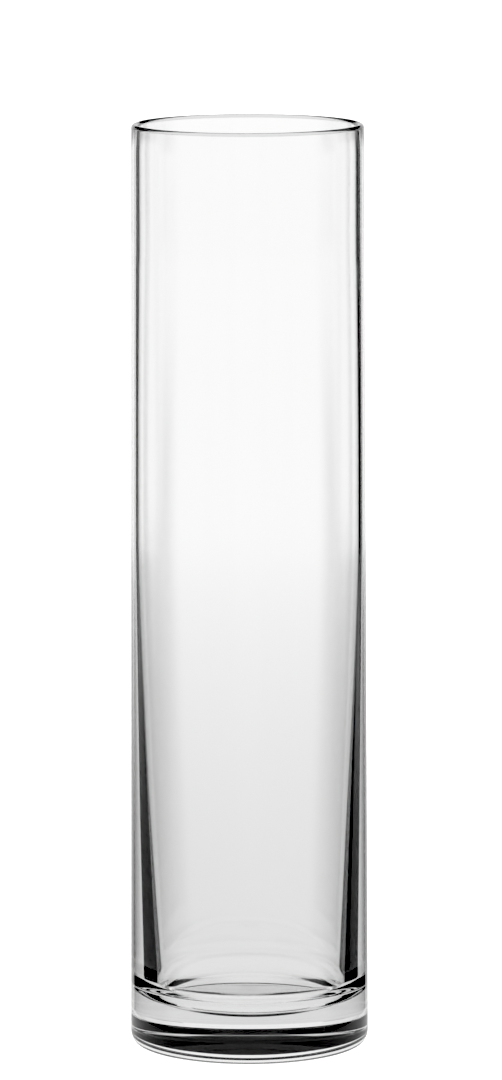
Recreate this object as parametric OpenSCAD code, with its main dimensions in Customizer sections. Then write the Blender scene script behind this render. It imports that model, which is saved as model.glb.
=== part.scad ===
// Clear glass cylinder vase, blown in one piece.
// The walls are thin in the upper half and thicken steadily down to a heavy solid base.
// Millimetres. The origin is the centre of the foot, on the surface the vase stands on, and +Z
// runs up the axis, out of the mouth.

/* [Outside] */
// Overall height, from the foot to the top of the rim
height = 265; // [200:1:340]
// Outer diameter at the rim
rim_d = 66; // [64:0.1:67]
// Outer diameter at the foot of the side, from which the side tapers up to the rim
base_d = 68.4; // [67:0.1:74]
// How far the rounded heel comes in from the side
heel_in = 2.2; // [1:0.1:3]
// How far the rounded heel comes up the side
heel_up = 3.4; // [2:0.1:8]

/* [Foot] */
// Width of the flat ring that the vase stands on
ring_w = 4; // [2:0.5:8]
// How far the middle of the underside is raised clear of the table, so that the vase never rocks
push_up = 0.1; // [0.1:0.1:3]

/* [Inside] */
// Thickness of the solid base in its middle, from the table to the lowest point of the cavity
floor_h = 9.9; // [6:0.1:14]
// Radius of the shallow bowl that the cavity's floor forms
bowl_r = 72; // [45:1:120]
// Radius of the hollow corner that leads from the bowl into the wall
corner_r = 7.5; // [3:0.1:12]
// Inner diameter just above that corner
floor_bore_d = 54.8; // [50:0.1:58]
// Inner diameter where the wall is thinnest
belly_bore_d = 63.1; // [62:0.1:63.4]
// Height at which the wall is thinnest
belly_h = 146; // [120:1:160]
// Length of the even thickening that leads from the thin wall into the heavy one
blend_h = 28; // [10:1:50]
// Inner diameter of the straight neck
neck_bore_d = 61.6; // [60:0.1:62]
// Depth of the straight neck, from the top of the rim
neck_depth = 36; // [20:1:38]

/* [Hidden] */

rim_r = rim_d / 2;
base_r = base_d / 2;
neck_r = neck_bore_d / 2;
belly_r = belly_bore_d / 2;
floor_r = floor_bore_d / 2;
lip_r = (rim_r - neck_r) / 2;
lip_z = height - lip_r;
neck_z = height - neck_depth;
ring_outer_r = base_r - heel_in;
ring_inner_r = ring_outer_r - ring_w;
// Radius of the shallow sphere that hollows the underside
dome_r = (pow(ring_inner_r, 2) + pow(push_up, 2)) / (2 * push_up);
dome_angle = asin(ring_inner_r / dome_r);
// The corner's circle touches both the bowl and the wall
corner_x = floor_r - corner_r;
bowl_z = floor_h + bowl_r;
bowl_angle = asin(corner_x / (bowl_r - corner_r));
corner_z = bowl_z - sqrt(pow(bowl_r - corner_r, 2) - pow(corner_x, 2));

heel_steps = 12;
dome_steps = 4;
bowl_steps = 10;
corner_steps = 12;
wall_steps = 14;
neck_steps = 8;
lip_steps = 16;
$fn = 180;

// Points along an ellipse's arc, without the first, where the line before it ends
function arc(centre, rx, ry, from, to, steps) = [
    for (i = [1 : steps])
        let (a = from + (to - from) * i / steps)
        centre + [rx * cos(a), ry * sin(a)]
];

// Points along a curve that leaves a towards b and reaches c from b, without a itself
function bend(a, b, c, steps) = [
    for (i = [1 : steps])
        let (t = i / steps)
        pow(1 - t, 2) * a + 2 * t * (1 - t) * b + pow(t, 2) * c
];

// The places where the inner wall's curves meet
neck_foot = [neck_r, neck_z];
belly = [belly_r, belly_h];
corner_top = [floor_r, corner_z];

// Half of the vase's section, counter-clockwise from the middle of the underside
function section() = concat(
    [[0, push_up]],
    arc([0, push_up - dome_r], dome_r, dome_r, 90, 90 - dome_angle, dome_steps),
    [[ring_outer_r, 0]],
    arc([ring_outer_r, heel_up], heel_in, heel_up, -90, 0, heel_steps),
    [[rim_r, lip_z]],
    arc([rim_r - lip_r, lip_z], lip_r, lip_r, 0, 180, lip_steps),
    [neck_foot],
    bend(neck_foot, [belly_r, (neck_z + belly_h) / 2], belly, neck_steps),
    bend(belly, [belly_r, belly_h - blend_h], corner_top, wall_steps),
    arc([corner_x, corner_z], corner_r, corner_r, 0, bowl_angle - 90, corner_steps),
    arc([0, bowl_z], bowl_r, bowl_r, bowl_angle - 90, -90, bowl_steps)
);

module vase_body() {
    color("azure", 0.35)
        rotate_extrude()
            polygon(section());
}

vase_body();
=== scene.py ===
import math

import bpy
import mathutils
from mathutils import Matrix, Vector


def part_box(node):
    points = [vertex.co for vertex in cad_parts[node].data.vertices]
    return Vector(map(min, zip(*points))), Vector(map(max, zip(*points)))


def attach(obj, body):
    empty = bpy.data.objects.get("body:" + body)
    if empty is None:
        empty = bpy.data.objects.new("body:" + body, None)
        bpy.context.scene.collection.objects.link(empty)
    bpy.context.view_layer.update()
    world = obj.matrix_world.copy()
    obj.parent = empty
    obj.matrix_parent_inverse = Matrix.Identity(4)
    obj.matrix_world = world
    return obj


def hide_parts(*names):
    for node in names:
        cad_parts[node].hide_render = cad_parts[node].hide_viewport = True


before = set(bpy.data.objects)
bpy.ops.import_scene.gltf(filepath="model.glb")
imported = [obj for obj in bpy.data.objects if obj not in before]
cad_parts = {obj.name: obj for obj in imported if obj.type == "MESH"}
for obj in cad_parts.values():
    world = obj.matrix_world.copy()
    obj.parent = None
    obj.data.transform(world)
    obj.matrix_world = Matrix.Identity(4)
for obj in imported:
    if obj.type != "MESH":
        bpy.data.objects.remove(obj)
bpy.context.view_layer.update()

MM = 0.001
NODE = "vase_body"
node_low, node_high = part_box(NODE)
HEIGHT = node_high.z
BASE_R = node_high.x

# ---- Shape of the glass ----------------------------------------------------------------------
RIM_R = 33.0 * MM
# How far the rounded heel comes in from the side, and up it
HEEL_IN = 2.2 * MM
HEEL_UP = 3.4 * MM
# The ring that the vase stands on, and the underside's rise inside it
RING_W = 4.0 * MM
PUSH_UP = 0.1 * MM
# The cavity's floor is a shallow bowl, which a hollow corner leads into the wall
FLOOR_H = 9.9 * MM
BOWL_R = 72.0 * MM
CORNER_R = 7.5 * MM
FLOOR_BORE_R = 27.4 * MM
# The wall is thinnest at the belly, and its thickening below that starts over BLEND_H
BELLY_R = 31.55 * MM
BELLY_H = 146.0 * MM
BLEND_H = 28.0 * MM
NECK_R = 30.8 * MM
NECK_Z = HEIGHT - 36.0 * MM
LIP_R = (RIM_R - NECK_R) / 2
LIP_Z = HEIGHT - LIP_R
# The middle of the corner's circle, which touches both the bowl of the floor and the wall
CORNER_X = FLOOR_BORE_R - CORNER_R
BOWL_Z = FLOOR_H + BOWL_R
BOWL_ANGLE = math.degrees(math.asin(CORNER_X / (BOWL_R - CORNER_R)))
CORNER_Z = BOWL_Z - math.sqrt((BOWL_R - CORNER_R) ** 2 - CORNER_X**2)
# How far the cavity stands off the vase's axis at the floor, fading out by CENTRED_Z
OFF_AXIS = 0.45 * MM
CENTRED_Z = 75.0 * MM
OFF_AXIS_FADE = 1.5

# Mesh steps around the vase, and along each part of its section
AROUND = 512
DOME_STEPS = 24
RING_STEPS = 4
HEEL_STEPS = 24
SIDE_STEPS = 40
LIP_STEPS = 12
NECK_STEPS = 6
SHOULDER_STEPS = 20
WALL_STEPS = 40
CORNER_STEPS = 24
BOWL_STEPS = 32


def mix(a, b, t):
    return a + (b - a) * t


def line(a, b, steps):
    """Points on a straight line, without the first."""
    ts = [i / steps for i in range(1, steps + 1)]
    return [(mix(a[0], b[0], t), mix(a[1], b[1], t)) for t in ts]


def arc(cx, cz, rx, rz, start, end, steps):
    """Points on an ellipse's arc, without the first."""
    angles = [math.radians(mix(start, end, i / steps)) for i in range(1, steps + 1)]
    return [(cx + rx * math.cos(a), cz + rz * math.sin(a)) for a in angles]


def bend(a, b, c, steps):
    """Points on a curve that leaves a towards b and reaches c from b, without a."""
    ts = [i / steps for i in range(1, steps + 1)]
    return [
        tuple((1 - t) ** 2 * p + 2 * t * (1 - t) * q + t * t * r for p, q, r in zip(a, b, c))
        for t in ts
    ]


def outside():
    """The outer half of the section, from the middle of the underside to the top of the rim."""
    ring_out = BASE_R - HEEL_IN
    ring_in = ring_out - RING_W
    dome_r = (ring_in**2 + PUSH_UP**2) / (2 * PUSH_UP)
    dome_angle = math.degrees(math.asin(ring_in / dome_r))
    points = [(0.0, PUSH_UP)]
    points += arc(0, PUSH_UP - dome_r, dome_r, dome_r, 90, 90 - dome_angle, DOME_STEPS)
    points += line((ring_in, 0.0), (ring_out, 0.0), RING_STEPS)
    points += arc(ring_out, HEEL_UP, HEEL_IN, HEEL_UP, -90, 0, HEEL_STEPS)
    points += line((BASE_R, HEEL_UP), (RIM_R, LIP_Z), SIDE_STEPS)
    points += arc(RIM_R - LIP_R, LIP_Z, LIP_R, LIP_R, 0, 90, LIP_STEPS)
    return points


def inside():
    """The inner half of the section, from the top of the rim to the middle of the floor."""
    points = arc(RIM_R - LIP_R, LIP_Z, LIP_R, LIP_R, 90, 180, LIP_STEPS)
    points += line((NECK_R, LIP_Z), (NECK_R, NECK_Z), NECK_STEPS)
    middle = (BELLY_R, (NECK_Z + BELLY_H) / 2)
    points += bend((NECK_R, NECK_Z), middle, (BELLY_R, BELLY_H), SHOULDER_STEPS)
    knee = (BELLY_R, BELLY_H - BLEND_H)
    points += bend((BELLY_R, BELLY_H), knee, (FLOOR_BORE_R, CORNER_Z), WALL_STEPS)
    points += arc(CORNER_X, CORNER_Z, CORNER_R, CORNER_R, 0, BOWL_ANGLE - 90, CORNER_STEPS)
    points += arc(0, BOWL_Z, BOWL_R, BOWL_R, BOWL_ANGLE - 90, -90, BOWL_STEPS)
    return points


def aside(z):
    """How far the middle of the cavity stands to the right of the axis at height z."""
    return OFF_AXIS * max(0.0, 1 - z / CENTRED_Z) ** OFF_AXIS_FADE


def blown_glass(name, outer, inner):
    """A closed, smooth solid of revolution, whose cavity stands slightly off its axis."""
    rings = [(radius, z, 0.0) for radius, z in outer[1:]]
    rings += [(radius, z, aside(z)) for radius, z in inner[:-1]]
    verts = [(0.0, 0.0, outer[0][1])]
    for radius, z, shift in rings:
        for k in range(AROUND):
            a = 2 * math.pi * k / AROUND
            verts.append((shift + radius * math.cos(a), radius * math.sin(a), z))
    verts.append((aside(inner[-1][1]), 0.0, inner[-1][1]))
    faces = []
    last = len(verts) - 1
    top = 1 + (len(rings) - 1) * AROUND
    for k in range(AROUND):
        n = (k + 1) % AROUND
        faces.append((0, 1 + n, 1 + k))
        faces.append((last, top + k, top + n))
        for j in range(len(rings) - 1):
            a = 1 + j * AROUND
            b = a + AROUND
            faces.append((a + k, a + n, b + n, b + k))
    mesh = bpy.data.meshes.new(name)
    mesh.from_pydata(verts, [], faces)
    mesh.validate()
    for polygon in mesh.polygons:
        polygon.use_smooth = True
    piece = bpy.data.objects.new(name, mesh)
    bpy.context.collection.objects.link(piece)
    return piece


# ---- Materials -------------------------------------------------------------------------------
GLASS_IOR = 1.52
# Light that has gone x metres through the glass has faded to exp(-GLASS_DENSITY * x)
GLASS_DENSITY = 2.0
RELIEF_DEPTH = 0.02 * MM
RELIEF_STRENGTH = 0.5
DRAW_LINE_SHARE = 0.25
# Noise scale, detail, and stretch along each axis
DRAW_LINES = (260.0, 2.0, (1, 1, 0.04))
WAVES = (38.0, 1.0, (1, 1, 0.45))
SPECKS = (900.0, 3.0, (1, 1, 1))
# Ramps are (start, end, value at start, value at end)
SPECK_ROUGHNESS = (0.45, 0.75, 0.0, 0.012)
# Painted shade: the glass's base colour dims from full to 0.45 as it is seen edge on, darkening
# the outline
EDGE_PAINTED_SHADE = (0.86, 1.0, 1.0, 0.45)
SHADOW_TINT = (0.86, 0.87, 0.87, 1)


class Graph:
    """Short names for the nodes that a shader is worked out with."""

    def __init__(self, tree):
        self.tree = tree

    def node(self, kind, **settings):
        made = self.tree.nodes.new(kind)
        for name, value in settings.items():
            setattr(made, name, value)
        return made

    def put(self, socket, value):
        if isinstance(value, bpy.types.NodeSocket):
            self.tree.links.new(value, socket)
        else:
            socket.default_value = value

    def math(self, operation, *values):
        made = self.node("ShaderNodeMath", operation=operation)
        for socket, value in zip(made.inputs, values):
            self.put(socket, value)
        return made.outputs[0]

    def product(self, first, *others):
        for other in others:
            first = self.math("MULTIPLY", first, other)
        return first

    def ramp(self, value, start, end, low=0.0, high=1.0):
        """low where value is start, high where it is end, eased between them."""
        made = self.node("ShaderNodeMapRange", interpolation_type="SMOOTHSTEP")
        for socket, number in zip(made.inputs, (value, start, end, low, high)):
            self.put(socket, number)
        return made.outputs[0]


def new_material(name):
    material = bpy.data.materials.new(name)
    material.use_nodes = True
    return material, material.node_tree.nodes, Graph(material.node_tree)


def glass_material():
    """Clear glass with faint draw lines up the wall, slow waves, a fire-polished skin and painted
    shade at its outline.
    """
    material, nodes, g = new_material("clear_glass")
    shader = nodes["Principled BSDF"]
    place = g.node("ShaderNodeTexCoord").outputs["Object"]

    def noise(scale, detail, stretch):
        mapping = g.node("ShaderNodeMapping")
        g.put(mapping.inputs["Vector"], place)
        mapping.inputs["Scale"].default_value = stretch
        made = g.node("ShaderNodeTexNoise")
        g.put(made.inputs["Vector"], mapping.outputs["Vector"])
        made.inputs["Scale"].default_value = scale
        made.inputs["Detail"].default_value = detail
        return made.outputs["Fac"]

    bump = g.node("ShaderNodeBump")
    bump.inputs["Strength"].default_value = RELIEF_STRENGTH
    bump.inputs["Distance"].default_value = RELIEF_DEPTH
    relief = g.math("MULTIPLY_ADD", noise(*DRAW_LINES), DRAW_LINE_SHARE, noise(*WAVES))
    g.put(bump.inputs["Height"], relief)
    g.put(shader.inputs["Normal"], bump.outputs["Normal"])

    # Painted shade: glass looked at nearly edge on is painted greyer, which darkens its outline
    edge = g.node("ShaderNodeLayerWeight").outputs["Facing"]
    g.put(shader.inputs["Base Color"], g.ramp(edge, *EDGE_PAINTED_SHADE))
    g.put(shader.inputs["Roughness"], g.ramp(noise(*SPECKS), *SPECK_ROUGHNESS))
    shader.inputs["Transmission Weight"].default_value = 1
    shader.inputs["IOR"].default_value = GLASS_IOR

    # The lamps' light goes straight through, dimmed a little, so the glass throws no black shadow
    lamp_ray = g.node("ShaderNodeLightPath").outputs["Is Shadow Ray"]
    clear = g.node("ShaderNodeBsdfTransparent")
    clear.inputs["Color"].default_value = SHADOW_TINT
    choice = g.node("ShaderNodeMixShader")
    g.put(choice.inputs["Fac"], lamp_ray)
    g.put(choice.inputs[1], shader.outputs["BSDF"])
    g.put(choice.inputs[2], clear.outputs["BSDF"])
    g.put(nodes["Material Output"].inputs["Surface"], choice.outputs["Shader"])

    absorption = g.node("ShaderNodeVolumeAbsorption")
    absorption.inputs["Color"].default_value = (0, 0, 0, 1)
    absorption.inputs["Density"].default_value = GLASS_DENSITY
    g.put(nodes["Material Output"].inputs["Volume"], absorption.outputs["Volume"])
    return material


# ---- The vase --------------------------------------------------------------------------------
vase = blown_glass("glass_vase", outside(), inside())
vase.data.materials.append(glass_material())
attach(vase, "root")
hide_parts(NODE)

# ---- Camera ----------------------------------------------------------------------------------
LENS = 221.1
CAMERA_PLACE = (1.31 * MM, -1874 * MM, 425.8 * MM)
LOOKS_DOWN = 8.497
ROLL = 0.12

camera_data = bpy.data.cameras.new("camera")
camera_data.lens = LENS
camera_data.clip_end = 20
camera = bpy.data.objects.new("camera", camera_data)
bpy.context.collection.objects.link(camera)
camera.location = CAMERA_PLACE
camera.rotation_euler = (math.radians(90 - LOOKS_DOWN), math.radians(ROLL), 0)
bpy.context.scene.camera = camera

# ---- Studio ----------------------------------------------------------------------------------
# The world's light by direction. turn is the bearing in degrees, counted from straight behind
# the vase, side is its size either way, and rise is the elevation. Ramps are as above.
#
# Nothing but the top box is lit above this edge. The underside of the vase mirrors the dark gap
# between the two as the black stripe in the base.
LIT_UP_TO = (11.8, 12.4, 1.0, 0.0)
# The backdrop's middle, half width and half of its edge's softness, and its shade downward
BACKDROP_TURN = (1.75, 26.4, 1.0)
BACKDROP_RISE = (-16.0, -8.0, 0.76, 0.99)
# A bright belt above the dark cards that stand beside the backdrop
BELT_TURN = (0.0, 75.0, 6.0)
BELT_RISE = (-4.0, -2.0, 0.0, 0.95)
# Soft boxes beyond the cards
FLANK_NEAR = (37.0, 45.0, 0.0, 1.0)
FLANK_FAR = (70.0, 82.0, 1.0, 0.0)
FLANK_RISE = (-11.0, -8.0, 0.0, 0.8)
# The room beside the vase, lit from just below the horizon upward, and behind the camera
RING_SIDE = (66.0, 84.0, 0.0, 1.0)
RING_RISE = (-8.5, -4.5, 0.0, 0.92)
ROOM_SIDE = (84.0, 104.0, 0.0, 0.82)
# The table far below, and the box overhead, whose edge comes lower to the sides
TABLE_RISE = (-24.0, -20.0, 0.78, 0.0)
TOP_BOX_EDGE = (12.0, 30.0, 36.0, 22.0)
TOP_BOX_RISE = (0.0, 7.0, 0.0, 0.74)
# Added to what the camera sees directly, so the backdrop is pure white behind the vase
SEEN_DIRECTLY = 2.0

# The sheets lie just under the foot
PLATE_R = 66 * MM
PLATE_Z = -0.1 * MM
PLATE_GLOW = 0.8
FLOOR_HALF = 7.0
FLOOR_Z = -0.2 * MM
FLOOR_GLOW = 0.9
FLOOR_COLOUR = (0.9, 0.9, 0.9, 1)
FLOOR_ROUGHNESS = 0.9

# Name, place in metres and watts of each soft light
SOFT_LIGHTS = (
    ("key_light", (-0.9, -0.5, 1.5), 6.0),
    ("fill_light", (1.0, 0.6, 1.3), 4.0),
)
SOFT_LIGHT_SIZE = 1.2
BLACK_LEVEL = (0.04, 0.04, 0.04)


def studio_world():
    """A bright backdrop between dark cards, lit boxes and a pale room around them."""
    world = bpy.data.worlds.new("studio")
    world.use_nodes = True
    g = Graph(world.node_tree)
    way = g.node("ShaderNodeSeparateXYZ")
    g.put(way.inputs[0], g.node("ShaderNodeTexCoord").outputs["Generated"])
    x, y, z = way.outputs
    turn = g.math("DEGREES", g.math("ARCTAN2", g.math("MULTIPLY", x, -1.0), y))
    side = g.math("ABSOLUTE", turn)
    rise = g.math("DEGREES", g.math("ARCSINE", z))

    def sector(centre, half, soft):
        off = g.math("WRAP", g.math("SUBTRACT", turn, centre), 180.0, -180.0)
        return g.ramp(g.math("ABSOLUTE", off), half - soft, half + soft, 1.0, 0.0)

    under_gap = g.ramp(rise, *LIT_UP_TO)
    backdrop = g.product(sector(*BACKDROP_TURN), g.ramp(rise, *BACKDROP_RISE), under_gap)
    belt = g.product(sector(*BELT_TURN), g.ramp(rise, *BELT_RISE), under_gap)
    flank_side = g.product(g.ramp(side, *FLANK_NEAR), g.ramp(side, *FLANK_FAR))
    flanks = g.product(flank_side, g.ramp(rise, *FLANK_RISE), under_gap)
    ring = g.product(g.ramp(side, *RING_SIDE), g.ramp(rise, *RING_RISE), under_gap)
    room = g.product(g.ramp(side, *ROOM_SIDE), under_gap)
    table = g.ramp(rise, *TABLE_RISE)
    above_edge = g.math("SUBTRACT", rise, g.ramp(side, *TOP_BOX_EDGE))
    top_box = g.ramp(above_edge, *TOP_BOX_RISE)

    light = backdrop
    for other in (belt, flanks, ring, room, table, top_box):
        light = g.math("MAXIMUM", light, other)
    seen = g.node("ShaderNodeLightPath").outputs["Is Camera Ray"]
    strength = g.math("ADD", light, g.math("MULTIPLY", seen, SEEN_DIRECTLY))
    background = world.node_tree.nodes["Background"]
    background.inputs["Color"].default_value = (1, 1, 1, 1)
    g.put(background.inputs["Strength"], strength)
    bpy.context.scene.world = world


def flat_sheet(name, outline, z, material):
    """A level sheet of the studio, which is no part of the vase."""
    mesh = bpy.data.meshes.new(name)
    mesh.from_pydata([(x, y, z) for x, y in outline], [], [tuple(range(len(outline)))])
    mesh.materials.append(material)
    sheet = bpy.data.objects.new(name, mesh)
    bpy.context.collection.objects.link(sheet)
    return sheet


def glow_plate():
    """The lit patch of table beside and behind the foot, seen only in and through the glass."""
    material, nodes, g = new_material("glow_plate")
    shine = g.node("ShaderNodeEmission")
    shine.inputs["Strength"].default_value = PLATE_GLOW
    g.put(nodes["Material Output"].inputs["Surface"], shine.outputs["Emission"])
    angles = [math.radians(a) for a in range(0, 360, 5)]
    # It ends level with the front of the foot, so the side of the vase doesn't mirror it
    outline = [(PLATE_R * math.cos(a), max(-BASE_R, PLATE_R * math.sin(a))) for a in angles]
    plate = flat_sheet("glow_plate", outline, PLATE_Z, material)
    plate.visible_camera = False
    plate.visible_shadow = False
    plate.visible_diffuse = False


def floor():
    """The pale floor, nearly as bright as the backdrop, with a soft shade under the vase."""
    material, nodes, g = new_material("floor")
    paper = nodes["Principled BSDF"]
    paper.inputs["Base Color"].default_value = FLOOR_COLOUR
    paper.inputs["Roughness"].default_value = FLOOR_ROUGHNESS
    shine = g.node("ShaderNodeEmission")
    shine.inputs["Strength"].default_value = FLOOR_GLOW
    lit_paper = g.node("ShaderNodeAddShader")
    g.put(lit_paper.inputs[0], paper.outputs["BSDF"])
    g.put(lit_paper.inputs[1], shine.outputs["Emission"])
    g.put(nodes["Material Output"].inputs["Surface"], lit_paper.outputs["Shader"])
    corners = ((-1, -1), (1, -1), (1, 1), (-1, 1))
    outline = [(x * FLOOR_HALF, y * FLOOR_HALF) for x, y in corners]
    sheet = flat_sheet("floor", outline, FLOOR_Z, material)
    # The glass shows the world's light below the horizon instead of this floor
    sheet.visible_transmission = False
    sheet.visible_glossy = False
    sheet.visible_diffuse = False


def soft_light(name, place, power):
    """A wide area light that looks at the vase and isn't seen itself."""
    data = bpy.data.lights.new(name, "AREA")
    data.shape = "DISK"
    data.size = SOFT_LIGHT_SIZE
    data.energy = power
    light = bpy.data.objects.new(name, data)
    bpy.context.collection.objects.link(light)
    light.location = place
    aim = mathutils.Vector((0, 0, HEIGHT / 2)) - light.location
    light.rotation_euler = aim.to_track_quat("-Z", "Y").to_euler()
    light.visible_camera = False
    light.visible_glossy = False
    light.visible_transmission = False


studio_world()
glow_plate()
floor()
for name, place, power in SOFT_LIGHTS:
    soft_light(name, place, power)
view = bpy.context.scene.view_settings
view.view_transform = "Standard"
view.use_curve_mapping = True
view.curve_mapping.black_level = BLACK_LEVEL
